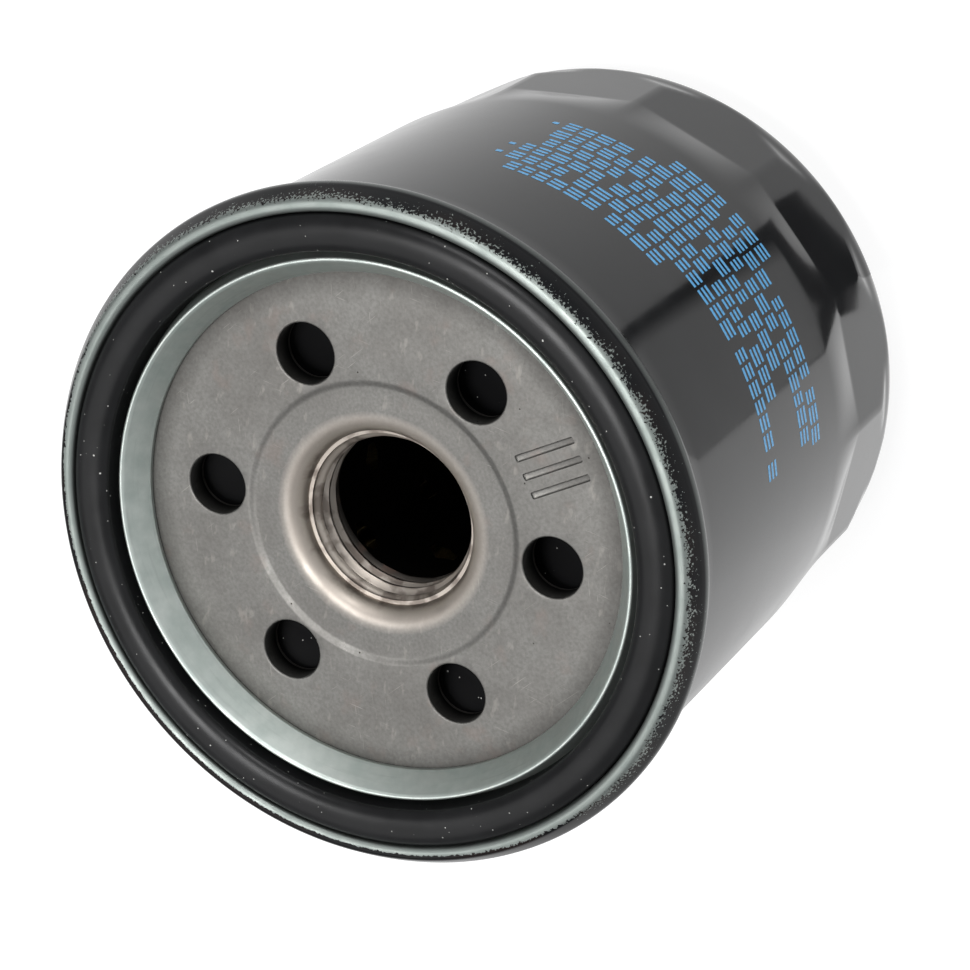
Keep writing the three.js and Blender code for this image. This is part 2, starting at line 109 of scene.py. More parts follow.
class FilterSizes(bpy.types.PropertyGroup):
    can_radius: length_property("Can radius", "Outside of the can's round wall", 0.03635)
    can_sheet: length_property("Can sheet", "Thickness of the can's steel", 0.00042)
    lid_sheet: length_property("Retainer sheet", "Thickness of the gasket retainer", 0.00058)
    flat_count: IntProperty(name="Wrench flats", description="Flats round the dome end", default=14)
    flat_top: length_property("Flat top", "Height at which the flats begin", 0.028)
    flat_blend: length_property("Flat blend", "Height over which a flat sinks in", 0.008)
    inlet_count: IntProperty(name="Inlets", description="Holes in the base plate", default=6)
    inlet_radius: length_property("Inlet radius", "Radius of each inlet hole", 0.0034)
    inlet_circle: length_property("Inlet circle", "Radius of the circle of inlets", 0.0199)
    thread_radius: length_property("Thread radius", "Radius at the thread's roots", 0.009525)
    thread_depth: length_property("Thread depth", "From root to crest", 0.000775)
    thread_pitch: length_property("Thread pitch", "Rise of one turn", 0.0254 / 16)


def colour_property(name, description, code):
    """A colour picker whose default is an sRGB hex colour."""
    return FloatVectorProperty(
        name=name, description=description, subtype="COLOR", size=3, default=linear(code)
    )


def linear(code):
    """Turns an sRGB hex colour such as #a1b2c3 to linear red, green and blue."""
    shares = [int(code[i:i + 2], 16) / 255 for i in (1, 3, 5)]
    return tuple(s / 12.92 if s <= 0.04045 else ((s + 0.055) / 1.055) ** 2.4 for s in shares)


class FilterFinishes(bpy.types.PropertyGroup):
    enamel: colour_property("Enamel", "Black baked enamel of the can", "#0c0d0f")
    zinc: colour_property("Zinc", "Clear-passivated zinc plate", "#d0d6d1")
    steel: colour_property("Bare steel", "Oiled bare steel of the base plate", "#7c7b78")
    nitrile: colour_property("Nitrile", "Black rubber of the gasket", "#101011")
    ink: colour_property("Ink", "Printed panel on the can", "#4fa3d8")
    floor: colour_property("Floor", "Pale floor of the studio", "#8a8a8a")


def chosen_colour(name):
    """One of the scene's finishes, as linear red, green and blue."""
    return tuple(getattr(bpy.context.scene.filter_finishes, name))


# ---------------------------------------------------------------- modelling helpers


def rounded(corners, fineness=7.0):
    """An outline of [radius, height, corner radius] points with each corner turned to an arc."""
    outline = []
    count = len(corners)
    for i, (r, z, round_off) in enumerate(corners):
        here = Vector((r, z))
        before = Vector(corners[i - 1][:2]) - here
        after = Vector(corners[(i + 1) % count][:2]) - here
        on_axis = r == 0 or round_off == 0
        if on_axis or before.length == 0 or after.length == 0:
            outline.append(here)
            continue
        half = before.angle(after) / 2
        room = 0.49 * min(before.length, after.length)
        back = min(round_off / math.tan(half), room)
        radius = back * math.tan(half)
        middle = here + (before.normalized() + after.normalized()).normalized() * (radius / math.sin(half))
        start = here + before.normalized() * back - middle
        end = here + after.normalized() * back - middle
        sweep = start.angle_signed(end)
        steps = max(2, round(abs(math.degrees(sweep)) / fineness))
        for k in range(steps + 1):
            turn = Matrix.Rotation(-sweep * k / steps, 2)
            outline.append(middle + turn @ start)
    return outline


def arc(middle, radius, start, stop, steps):
    """Points of an arc round its middle, from one angle to another in degrees."""
    angles = [math.radians(start + (stop - start) * k / steps) for k in range(steps + 1)]
    return [(middle[0] + radius * math.cos(a), middle[1] + radius * math.sin(a)) for a in angles]


def eased(share):
    """Turns an even share to one that starts and stops gently."""
    return share * share * (3 - 2 * share)


def divided(start, end, step):
    """Points from start up to but not at end, no more than step apart."""
    start, end = Vector(start), Vector(end)
    count = max(1, math.ceil((end - start).length / step))
    return [start.lerp(end, k / count) for k in range(count)]


def leave_edit_mode():
    """Puts Blender back in object mode."""
    bpy.ops.object.mode_set(mode="OBJECT")


def begin(name, add_primitive, **sizes):
    """Adds a primitive with nothing else selected and leaves it in edit mode, all selected."""
    if bpy.context.object and bpy.context.object.mode != "OBJECT":
        leave_edit_mode()
    bpy.ops.object.select_all(action="DESELECT")
    add_primitive(**sizes)
    piece = bpy.context.object
    piece.name = name
    piece.data.name = name
    bpy.ops.object.mode_set(mode="EDIT")
    bpy.ops.mesh.select_all(action="SELECT")
    return piece


def end(piece, smooth_angle=35.0):
    """Leaves edit mode, puts the piece's place in its mesh and shades it."""
    leave_edit_mode()
    bpy.ops.object.transform_apply(location=True, rotation=True, scale=True)
    bpy.ops.object.shade_smooth_by_angle(angle=math.radians(smooth_angle))
    return piece


def turned(name, outline, steps, closed=True):
    """Draws an outline in millimetres by extruding a point, and spins it round Z into a closed skin."""
    piece = begin(name, bpy.ops.mesh.primitive_plane_add, size=MM)
    bpy.ops.mesh.merge(type="CENTER")
    points = [Vector((p[0], 0, p[1])) * MM for p in outline]
    bpy.ops.transform.translate(value=points[0])
    for before, after in zip(points, points[1:]):
        bpy.ops.mesh.extrude_region_move(TRANSFORM_OT_translate={"value": after - before})
    bpy.ops.mesh.select_all(action="SELECT")
    if closed:
        select_ends(piece)
        bpy.ops.mesh.edge_face_add()
        bpy.ops.mesh.select_all(action="SELECT")
    bpy.ops.mesh.spin(steps=steps, angle=2 * math.pi, center=(0, 0, 0), axis=(0, 0, 1))
    bpy.ops.mesh.select_all(action="SELECT")
    bpy.ops.mesh.remove_doubles(threshold=0.002 * MM)
    bpy.ops.mesh.normals_make_consistent(inside=False)
    return piece


def select_ends(piece):
    """Selects the two loose ends of a drawn line."""
    bpy.ops.mesh.select_all(action="DESELECT")
    leave_edit_mode()
    uses = [0] * len(piece.data.vertices)
    for edge in piece.data.edges:
        for corner in edge.vertices:
            uses[corner] += 1
    for vertex in piece.data.vertices:
        vertex.select = uses[vertex.index] == 1
    bpy.ops.object.mode_set(mode="EDIT")


def apply_modifier(piece, kind, **settings):
    """Adds a modifier, sets it and applies it."""
    modifier = piece.modifiers.new(kind.title(), kind)
    for key, value in settings.items():
        setattr(modifier, key, value)
    bpy.ops.object.modifier_apply(modifier=modifier.name)


def cut_out(piece, cutter):
    """Takes the cutter out of the piece and deletes it."""
    bpy.ops.object.select_all(action="DESELECT")
    bpy.context.view_layer.objects.active = piece
    piece.select_set(True)
    apply_modifier(piece, "BOOLEAN", object=cutter, operation="DIFFERENCE", solver="EXACT")
    bpy.data.objects.remove(cutter)


def hand_over(piece, material, body, slot, *nodes):
    """Gives a finished piece its material and its body, and hides the CAD nodes that it stands for.

    A piece that bends between two bodies gets no body here. The slot is not used."""
    piece.data.materials.clear()
    piece.data.materials.append(material)
    if body:
        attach(piece, body)
    if nodes:
        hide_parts(*nodes)


# ---------------------------------------------------------------- material helpers


def add_node(tree, kind, inputs=None, **settings):
    """Adds a node, with its settings, and each input linked to a socket or set to a constant."""
    new = tree.nodes.new(kind)
    for key, value in settings.items():
        setattr(new, key, value)
    for key, value in (inputs or {}).items():
        if isinstance(value, bpy.types.NodeSocket):
            tree.links.new(value, new.inputs[key])
        else:
            new.inputs[key].default_value = value
    return new


def surface(tree, shader, colour, roughness, normal):
    """Links what nearly every finish has."""
    tree.links.new(colour, shader.inputs["Base Color"])
    tree.links.new(roughness, shader.inputs["Roughness"])
    tree.links.new(normal, shader.inputs["Normal"])


def start_material(name):
    """A new material with its node tree, its surface shader and its Object coordinates."""
    material = bpy.data.materials.new(name)
    material.use_nodes = True
    tree = material.node_tree
    tree.nodes.clear()
    shader = add_node(tree, "ShaderNodeBsdfPrincipled")
    add_node(tree, "ShaderNodeOutputMaterial", {"Surface": shader.outputs["BSDF"]})
    place = add_node(tree, "ShaderNodeTexCoord").outputs["Object"]
    return material, tree, shader, place


def rotated(tree, place, degrees):
    """Coordinates turned about the filter's axis."""
    turn = (0, 0, math.radians(degrees))
    return add_node(tree, "ShaderNodeMapping", {"Vector": place, "Rotation": turn}).outputs[0]


def grain(tree, place, size_mm, detail=2.0, stretch=(1, 1, 1)):
    """Noise whose lumps are about size_mm across, stretched where asked."""
    scaled = add_node(tree, "ShaderNodeMapping", {"Vector": place, "Scale": stretch})
    inputs = {"Vector": scaled.outputs["Vector"], "Scale": 1 / (size_mm * MM), "Detail": detail}
    return add_node(tree, "ShaderNodeTexNoise", inputs).outputs["Fac"]


def ramp(tree, value, low_in, high_in, low_out=0.0, high_out=1.0):
    """Maps a value from one range to another and clamps it."""
    inputs = {"Value": value, "From Min": low_in, "From Max": high_in, "To Min": low_out, "To Max": high_out}
    return add_node(tree, "ShaderNodeMapRange", inputs, clamp=True).outputs["Result"]


def spread(tree, noise, low_out=0.0, high_out=1.0):
    """Maps the usual range of a noise to the one given."""
    return ramp(tree, noise, 0.3, 0.7, low_out, high_out)


def math_of(tree, operation, first, second=0.0):
    """One arithmetic step."""
    return add_node(tree, "ShaderNodeMath", {0: first, 1: second}, operation=operation).outputs[0]


def product(tree, first, second):
    """One value times another."""
    return math_of(tree, "MULTIPLY", first, second)


def mixed(tree, share, first, second):
    """A blend of two colours, each a socket, a linear colour or an sRGB hex colour."""
    sides = [linear(side) if isinstance(side, str) else side for side in (first, second)]
    sides = [side if isinstance(side, bpy.types.NodeSocket) else (*side, 1.0) for side in sides]
    mix = add_node(tree, "ShaderNodeMix", {"Factor": share, 6: sides[0], 7: sides[1]}, data_type="RGBA")
    return mix.outputs[2]


def bumped(tree, height, depth_mm, normal=None):
    """A bump of the given depth. Its strength stays at one, so that the depth is the real one."""
    inputs = {"Height": height, "Distance": depth_mm * MM, "Strength": 1.0}
    if normal is not None:
        inputs["Normal"] = normal
    return add_node(tree, "ShaderNodeBump", inputs).outputs["Normal"]


def specks(tree, place, cell_mm, share, size=0.2):
    """Sparse dots, such as dust: a few of the cells hold one dot each."""
    cells = add_node(tree, "ShaderNodeTexVoronoi", {"Vector": place, "Scale": 1 / (cell_mm * MM)})
    chosen = add_node(tree, "ShaderNodeSeparateColor", {"Color": cells.outputs["Color"]}).outputs["Red"]
    picked = math_of(tree, "GREATER_THAN", chosen, 1 - share)
    dot = ramp(tree, cells.outputs["Distance"], size * 0.6, size, 1.0, 0.0)
    return product(tree, dot, picked)


def radius_of(tree, place):
    """Distance from the filter's axis, in metres, and the height."""
    axes = add_node(tree, "ShaderNodeSeparateXYZ", {"Vector": place})
    flat = add_node(tree, "ShaderNodeCombineXYZ", {"X": axes.outputs["X"], "Y": axes.outputs["Y"]})
    length = add_node(tree, "ShaderNodeVectorMath", {0: flat.outputs[0]}, operation="LENGTH")
    return length.outputs["Value"], axes.outputs["Z"]


def around(tree, place):
    """Coordinates that run round the axis: arc length at a fixed radius, radius and height."""
    axes = add_node(tree, "ShaderNodeSeparateXYZ", {"Vector": place})
    bearing = math_of(tree, "ARCTAN2", axes.outputs["Y"], axes.outputs["X"])
    length = product(tree, bearing, bpy.context.scene.filter_sizes.can_radius)
    radius, height = radius_of(tree, place)
    joined = add_node(tree, "ShaderNodeCombineXYZ", {"X": length, "Y": radius, "Z": height})
    return joined.outputs[0]


# ---------------------------------------------------------------- finishes


def enamel_nodes(tree, place):
    """Colour, roughness and normal of baked black enamel: a glossy film with faint orange peel and dust."""
    dust = specks(tree, place, 2.6, 0.10, 0.035)
    cloud = grain(tree, place, 9.0)
    base = mixed(tree, ramp(tree, cloud, 0.35, 0.7), chosen_colour("enamel"), "#121315")
    colour = mixed(tree, product(tree, dust, 0.5), base, "#a8a8a4")
    smear = grain(tree, place, 5.0, 3.0)
    roughness = ramp(tree, smear, 0.35, 0.7, 0.10, 0.15)
    peel = grain(tree, place, 1.3, 1.0)
    return colour, roughness, bumped(tree, peel, 0.0022)


def black_enamel():
    """Baked black enamel on drawn steel, as the can has. It reflects sharply and hides its own colour."""
    material, tree, shader, place = start_material("baked_black_enamel")
    colour, roughness, normal = enamel_nodes(tree, place)
    surface(tree, shader, colour, roughness, normal)
    shader.inputs["IOR"].default_value = 1.43
    return material


def zinc_nodes(tree, place):
    """Colour, roughness and normal of zinc plate: pale, slightly green, with soft lumps and draw marks."""
    ring = around(tree, place)
    draw = grain(tree, ring, 0.5, 3.0, (0.05, 1.0, 1.0))
    cloud = grain(tree, place, 2.5, 4.0)
    base = mixed(tree, spread(tree, cloud), chosen_colour("zinc"), "#b9c2bd")
    colour = mixed(tree, ramp(tree, draw, 0.55, 0.8, 0.0, 0.35), base, "#9ba49f")
    roughness = spread(tree, cloud, 0.44, 0.54)
    return colour, roughness, bumped(tree, draw, 0.004, bumped(tree, grain(tree, place, 0.35), 0.004))


def painted_zinc():
    """Zinc-plated retainer, painted black with the can from the seam's crown outwards and flaked there."""
    material, tree, shader, place = start_material("zinc_plate_part_enamelled")
    zinc_colour, zinc_rough, zinc_normal = zinc_nodes(tree, place)
    paint_colour, paint_rough, paint_normal = enamel_nodes(tree, place)
    radius, _ = radius_of(tree, place)
    # Painted shade: the seam's crown is painted greyer than the ridge, to dim its reflection of the soft
    # lights.
    crown_shade = ramp(tree, radius, 34.0 * MM, 34.6 * MM, 0.0, 0.75)
    zinc_colour = mixed(tree, crown_shade, zinc_colour, "#6f7572")
    # The paint starts in a torn line just outside the crown, with loose flakes missing beyond it.
    line = (SEAM_RADIUS - 1.3) * MM
    outward = math_of(tree, "SUBTRACT", radius, line)
    # It laps further over the crown on one side of the filter.
    towards = {0: place, 1: (-0.5, 0.866, 0.0)}
    lapped = add_node(tree, "ShaderNodeVectorMath", towards, operation="DOT_PRODUCT")
    lap = ramp(tree, lapped.outputs["Value"], 0.0, 32.0 * MM)
    outward = math_of(tree, "ADD", outward, product(tree, lap, 0.8 * MM))
    ragged = ramp(tree, lap, 0.0, 1.0, 1.0, 0.25)
    torn = spread(tree, grain(tree, place, 0.35, 5.0), -0.35 * MM, 0.35 * MM)
    torn = product(tree, torn, ragged)
    painted = ramp(tree, math_of(tree, "ADD", outward, torn), -0.03 * MM, 0.03 * MM)
    patchy = ramp(tree, grain(tree, place, 9.0, 2.0), 0.40, 0.60, 0.08, 0.0)
    needed = math_of(tree, "ADD", ramp(tree, outward, 0.0, 1.0 * MM, 0.46, 0.70), patchy)
    needed = math_of(tree, "ADD", needed, ramp(tree, lap, 0.1, 0.7, 0.0, 0.3))
    flake = math_of(tree, "GREATER_THAN", grain(tree, place, 0.27, 3.0), needed)
    paint = product(tree, painted, math_of(tree, "SUBTRACT", 1.0, flake))
    # Painted highlight: the paint is thinned towards bare zinc along the skin's outermost edge, so that a
    # bright line shows there.
    edge_highlight = ramp(tree, radius, (SEAM_RADIUS - 0.18) * MM, (SEAM_RADIUS - 0.05) * MM, 1.0, 0.65)
    paint = product(tree, paint, edge_highlight)
    # Thin overspray on bare metal turns brown next to the line.
    near_line = ramp(tree, outward, 0.0, 1.1 * MM, 1.0, 0.0)
    brown = product(tree, near_line, ramp(tree, patchy, 0.08, 0.0))
    overspray = product(tree, brown, 0.7)
    paint_colour = mixed(tree, overspray, paint_colour, "#211815")
    colour = mixed(tree, paint, zinc_colour, paint_colour)
    rough = add_node(tree, "ShaderNodeMix", {"Factor": paint, 2: zinc_rough, 3: paint_rough})
    tree.links.new(math_of(tree, "SUBTRACT", 1.0, paint), shader.inputs["Metallic"])
    film = bumped(tree, paint, 0.03, paint_normal)
    normal = add_node(tree, "ShaderNodeMix", {"Factor": paint, 4: zinc_normal, 5: film}, data_type="VECTOR")
    surface(tree, shader, colour, rough.outputs[0], normal.outputs[1])
    shader.inputs["Specular IOR Level"].default_value = 0.16
    return material


def bare_steel():
    """Oiled bare steel, tumbled: dull satin, with pale smears, faint stains, pits and a few scratches."""
    material, tree, shader, place = start_material("oiled_bare_steel")
    radius, height = radius_of(tree, place)
    cloud = spread(tree, grain(tree, place, 8.0, 4.0))
    fine = grain(tree, place, 0.35, 4.0)
    colour = mixed(tree, cloud, chosen_colour("steel"), "#716f6c")
    colour = mixed(tree, ramp(tree, fine, 0.35, 0.7, 0.0, 0.5), colour, "#5e5c59")
    stain = ramp(tree, grain(tree, place, 3.4, 3.0), 0.60, 0.72, 0.0, 0.3)
    colour = mixed(tree, stain, colour, "#7d706a")
    slanted = rotated(tree, place, 35)
    smear = ramp(tree, grain(tree, slanted, 1.1, 4.0, (0.45, 1.0, 1.0)), 0.62, 0.72, 0.0, 0.35)
    colour = mixed(tree, smear, colour, "#9a9690")
    sparse = ramp(tree, grain(tree, place, 5.0, 2.0), 0.52, 0.6)
    scratches = None
    for turn in (20, 75, 130):
        line = grain(tree, rotated(tree, place, turn), 0.12, 1.0, (0.03, 1.0, 1.0))
        mark = ramp(tree, line, 0.72, 0.78)
        scratches = mark if scratches is None else math_of(tree, "MAXIMUM", scratches, mark)
    scratches = product(tree, scratches, sparse)
    colour = mixed(tree, product(tree, scratches, 0.35), colour, "#bab6af")
    colour = mixed(tree, specks(tree, place, 2.4, 0.3, 0.05), colour, "#35302d")
    # The mouth and the thread are cut clean.
    cut = ramp(tree, radius, 12.6 * MM, 10.8 * MM, 0.0, 0.75)
    colour = mixed(tree, cut, colour, "#c0b6ac")
    # Painted shade: the plate is painted darker in the corner under the retainer's lip, and the thread is
    # painted near black further down.
    corner = ramp(tree, radius, 25.4 * MM, 27.9 * MM, 0.0, 0.55)
    colour = mixed(tree, corner, colour, "#2b2927")
    bore_shade = ramp(tree, height, (PLATE_FACE - 7.6) * MM, (PLATE_FACE - 5.2) * MM, 0.97, 0.0)
    colour = mixed(tree, bore_shade, colour, "#0b0a0a")
    # Painted shade: outside the dish the plate is painted near black from just below its face down, so that
    # the inlets' walls are dark.
    wall = ramp(tree, height, (PLATE_FACE - 2.4) * MM, (PLATE_FACE - 0.5) * MM, 0.95, 0.0)
    beyond = product(tree, wall, ramp(tree, radius, 14.5 * MM, 15.5 * MM))
    colour = mixed(tree, beyond, colour, "#0f0e0e")
    # Painted highlight: the lower edge of each inlet, where the punch broke through, is painted bright.
    inlet_edge_highlight = ramp(tree, height, (PLATE_FACE - 2.62) * MM, (PLATE_FACE - 2.54) * MM, 0.6, 0.0)
    outside = ramp(tree, radius, 14.5 * MM, 15.5 * MM)
    colour = mixed(tree, product(tree, inlet_edge_highlight, outside), colour, "#8f8c87")
    blotch = ramp(tree, grain(tree, place, 2.6, 3.0), 0.5, 0.6)
    thread = product(tree, ramp(tree, radius, 10.6 * MM, 9.8 * MM), blotch)
    colour = mixed(tree, product(tree, thread, 0.6), colour, "#4a3d37")
    roughness = spread(tree, grain(tree, place, 3.0, 4.0), 0.44, 0.56)
    surface(tree, shader, colour, roughness, bumped(tree, scratches, 0.003, bumped(tree, fine, 0.004)))
    shader.inputs["Metallic"].default_value = 1.0
    return material


def nitrile_rubber(name, code, shine, index=1.34):
    """Moulded black nitrile: dark and soft in shine, with mould grain and specks of white dust."""
    material, tree, shader, place = start_material(name)
    cloud = grain(tree, place, 4.0, 3.0)
    base = mixed(tree, spread(tree, cloud), code, tuple(1.5 * share for share in code))
    dust = math_of(tree, "MAXIMUM", specks(tree, place, 1.0, 0.5, 0.08), specks(tree, place, 2.3, 0.4, 0.06))
    colour = mixed(tree, dust, base, "#b8b8b4")
    fine = grain(tree, place, 0.15, 2.0)
    surface(tree, shader, colour, spread(tree, cloud, shine, shine + 0.1), bumped(tree, fine, 0.003))
    shader.inputs["IOR"].default_value = index
    return material


def print_ink():
    """Screen-printed enamel ink: a thin matt film with slightly uneven cover."""
    material, tree, shader, place = start_material("screen_print_ink")
    cover = ramp(tree, grain(tree, place, 0.25, 3.0), 0.35, 0.7)
    colour = mixed(tree, cover, chosen_colour("ink"), "#3b86b8")
    tree.links.new(colour, shader.inputs["Base Color"])
    tree.links.new(ramp(tree, cover, 0.0, 1.0, 0.35, 0.5), shader.inputs["Roughness"])
    return material


def plain_metal(name, first, second, roughness, lump_mm):
    """Tinplate or drawn wire: a metal with soft tone changes and light handling marks."""
    material, tree, shader, place = start_material(name)
    cloud = grain(tree, place, lump_mm, 4.0)
    colour = mixed(tree, spread(tree, cloud), first, second)
    marks = bumped(tree, grain(tree, place, 0.2), 0.003)
    surface(tree, shader, colour, spread(tree, cloud, roughness, roughness + 0.12), marks)
    shader.inputs["Metallic"].default_value = 1.0
    return material


def dull_film(name, first, second, roughness, lump_mm, depth_mm):
    """Paper, adhesive or sealant: no shine, with fibres or ripples of the given size."""
    material, tree, shader, place = start_material(name)
    cloud = grain(tree, place, lump_mm, 5.0)
    colour = mixed(tree, spread(tree, cloud), first, second)
    uneven = spread(tree, cloud, roughness, min(1.0, roughness + 0.1))
    surface(tree, shader, colour, uneven, bumped(tree, cloud, depth_mm))
    return material


# ---------------------------------------------------------------- pieces


SHOULDER_TOP = 8.3                   # height at which the wall meets the shoulder's arc
SHOULDER = 7.0                       # radius of the shoulder
TAPER = 0.7                          # how much narrower the wall is there
TAPER_HEIGHT = 4.2


def wall_radius(sizes, height):
    """Outside radius of the can before its flats are pressed, in millimetres."""
    share = min(1.0, max(0.0, (SHOULDER_TOP + TAPER_HEIGHT - height) / TAPER_HEIGHT))
    narrowed = sizes.can_radius / MM - TAPER * eased(share)
    if height >= SHOULDER_TOP:
        return narrowed
    down = min(SHOULDER, SHOULDER_TOP - height)
    return narrowed - SHOULDER + math.sqrt(SHOULDER ** 2 - down ** 2)


def can_outline(sizes):
    """The can's section, from the pole of the dome outside, up to the folded flange, and back inside."""
    radius, sheet, lid = sizes.can_radius / MM, sizes.can_sheet / MM, sizes.lid_sheet / MM
    pad = 14.0
    corner = (radius - TAPER - SHOULDER, SHOULDER_TOP)
    outside = [(0.0, 0.0), (5.0, 0.0), (10.0, 0.0), (pad, 0.0)]
    outside += divided((pad + 0.6, 0.03), (corner[0], corner[1] - SHOULDER), 1.5)
    outside += arc(corner, SHOULDER, -90, 0, 22)
    rows = [SHOULDER_TOP + 0.4 * k for k in range(1, 55)]
    outside += [(wall_radius(sizes, height), height) for height in rows]
    flange_top = CROWN - lid - 0.6
    flange_in = radius + 0.06 + lid
    flange_end = SEAM_FOOT + lid + 1.2
    fold = divided((radius, rows[-1] + 2.0), (radius, flange_top - sheet - 1.0), 6.0) + [
        (radius, flange_top - sheet - 1.0),
        (radius + 0.2, flange_top - sheet - 0.5),
        (flange_in, flange_end + 0.3),
        (flange_in, flange_end),
        (flange_in + sheet, flange_end),
        (flange_in + sheet, flange_end + 0.4),
        (radius + 0.45, flange_top - 0.2),
        (radius, flange_top),
        (radius - sheet, flange_top - 0.3),
    ]
    inside = [(wall_radius(sizes, height) - sheet, height) for height in reversed(rows[::2])]
    inside += arc(corner, SHOULDER - sheet, 0, -90, 8)
    inside += [(pad, sheet), (0.0, sheet)]
    return outside + fold + inside


def press_flats(piece, sizes):
    """Moves the wall's points in to the flats, which sink in over the blend below their top."""
    pitch = 2 * math.pi / sizes.flat_count
    for vertex in piece.data.vertices:
        x, y, z = vertex.co
        if not 6.0 * MM < z < sizes.flat_top:
            continue
        radius = math.hypot(x, y)
        bearing = math.atan2(y, x)
        offset = bearing - pitch * round(bearing / pitch)
        chord = sizes.can_radius * math.cos(pitch / 2) / math.cos(offset)
        share = min(1.0, (sizes.flat_top - z) / sizes.flat_blend)
        limit = sizes.can_radius - share * share * (1.5 - 0.5 * share) * (sizes.can_radius - chord)
        if radius < wall_radius(sizes, z / MM) * MM - sizes.can_sheet / 2:
            limit -= sizes.can_sheet
        if radius > limit:
            vertex.co.x *= limit / radius
            vertex.co.y *= limit / radius


class OILFILTER_OT_can(bpy.types.Operator):
    """Draws and spins the can, and presses the wrench flats into its dome end"""

    bl_idname = "oilfilter.can"
    bl_label = "Can"

    def execute(self, context):
        sizes = context.scene.filter_sizes
        can = turned("drawn_can", can_outline(sizes), sizes.flat_count * 24, closed=False)
        leave_edit_mode()
        press_flats(can, sizes)
        end_piece = end(can, 40.0)
        hand_over(end_piece, black_enamel(), "housing", "black_paint", "can")
        return {"FINISHED"}


def retainer_outline(sizes):
    """The retainer's section: lip, ridge, groove, upright wall and the outer skin of the rolled seam."""
    lid, sheet, gap = sizes.lid_sheet / MM, sizes.can_sheet / MM, 0.03
    radius = sizes.can_radius / MM
    wall_out = radius - sheet - gap
    wall_in = wall_out - lid
    hook_in = radius + gap
    hook_out = hook_in + lid
    skin_in = SEAM_RADIUS - lid
    gasket_out = wall_in - 0.15
    ridge_out = gasket_out - 4.1 - 0.15
    lip = ridge_out - 3.0
    floor_z = PLATE_FACE + lid
    top = PLATE_FACE + 3.5
    crown = lip + 2.04
    foot = SEAM_FOOT
    curl_top = CROWN - lid - 1.2 - sheet
    return rounded([
        (lip, PLATE_FACE + 0.02, 0.1),
        (lip + 0.02, floor_z - 0.08, 0.18),
        (crown - 0.3, top - 0.25, 0.4),
        (crown, top, 0.3),
        (crown + 0.28, top - 0.12, 0.3),
        (ridge_out - 0.12, floor_z + 0.8, 1.2),
        (ridge_out + 0.15, floor_z, 0.35),
        (wall_in, floor_z, 0.45),
        (wall_in, CROWN - 0.3, 0.5),
        (wall_in + 0.55, CROWN, 0.6),
        (SEAM_RADIUS - 1.35, CROWN - 0.08, 0.8),
        (SEAM_RADIUS + 0.18, CROWN - 2.6, 2.0),
        (SEAM_RADIUS - 0.75, foot + 0.35, 0.6),
        (hook_out, foot, 0.3),
        (hook_in, foot + 0.25, 0.15),
        (hook_in, curl_top, 0.2),
        (hook_out, curl_top, 0.2),
        (hook_out, foot + lid, 0.2),
        (skin_in - 0.25, foot + lid + 0.3, 0.2),
        (skin_in, foot + 2.1, 0.3),
        (skin_in - 0.29, CROWN - 2.3, 0.5),
        (skin_in - 1.14, CROWN - lid - 0.02, 0.3),
        (wall_out, CROWN - lid, 0.3),
        (wall_out, PLATE_FACE + 0.02, 0.6),
        (ridge_out - 0.35, PLATE_FACE + 0.02, 0.2),
        (crown, top - lid - 0.15, 0.1),
        (lip + 0.6, PLATE_FACE + 0.02, 0.1),
    ], 10.0)


class OILFILTER_OT_retainer(bpy.types.Operator):
    """Draws and spins the gasket retainer with the outer skin of the rolled seam"""

    bl_idname = "oilfilter.retainer"
    bl_label = "Gasket retainer"

    def execute(self, context):
        sizes = context.scene.filter_sizes
        ring = end(turned("pressed_retainer", retainer_outline(sizes), 288), 50.0)
        hand_over(ring, painted_zinc(), "housing", "zinc_plate", "gasket_retainer")
        return {"FINISHED"}


class OILFILTER_OT_gasket(bpy.types.Operator):
    """Draws and spins the face gasket"""

    bl_idname = "oilfilter.gasket"
    bl_label = "Gasket"

    def execute(self, context):
        outer = reach("gasket")
        inner, base = outer - 4.1, low("gasket")
        half, crown = (outer - inner) / 2, 1.15
        side = GASKET_TOP - crown
        outline = rounded([(inner, side, 0), (inner, base, 0.3), (outer, base, 0.3), (outer, side, 0)])
        for k in range(1, 24):
            angle = math.pi * k / 24
            across = inner + half + half * math.cos(angle)
            outline.append((across, GASKET_TOP - crown + crown * math.sin(angle)))
        ring = end(turned("face_gasket", outline, 240), 50.0)
        rubber = nitrile_rubber("moulded_nitrile_gasket", chosen_colour("nitrile"), 0.28)
        hand_over(ring, rubber, "housing", "nitrile", "gasket")
        return {"FINISHED"}


# ---------------------------------------------------------------- base plate


PLATE_SUNK = 0.25                    # depth of the dish in the plate's middle
THREAD_ENTRY = 2.1                   # radius of the rounded mouth above the thread


def plate_outline(sizes):
    """The base plate's section. The bore is drawn fine and straight, for the thread to be cut in."""
    root = sizes.thread_radius / MM
    rim = reach("base_plate")
    back = PLATE_FACE - 3.0
    dish, sunk, entry, relief = 15.9, PLATE_SUNK, THREAD_ENTRY, 0.4
    collar = root + 2.4
    mouth = (root + relief + entry, PLATE_FACE - sunk - entry)
    outline = divided((rim - 0.2, PLATE_FACE), (dish + 0.4, PLATE_FACE), 4.0)
    outline += rounded_step((dish + 0.3, PLATE_FACE), (dish - 0.7, PLATE_FACE - sunk), 8)
    outline += divided((dish - 0.7, PLATE_FACE - sunk), (mouth[0], PLATE_FACE - sunk), 1.5)
    outline += arc(mouth, entry, 90, 180, 14)
    outline += divided((root, mouth[1] - 0.05), (root, COLLAR_END), 0.1)
    outline += [
        (root, COLLAR_END),
        (collar - 0.3, COLLAR_END),
        (collar, COLLAR_END + 0.3),
        (collar, back - sunk - 1.2),
        (collar + 0.35, back - sunk - 0.35),
        (collar + 1.2, back - sunk),
        (dish, back - sunk),
        (dish + 1.0, back),
        (rim - 0.2, back),
        (rim, back + 0.2),
        (rim, PLATE_FACE - 0.2),
    ]
    return outline


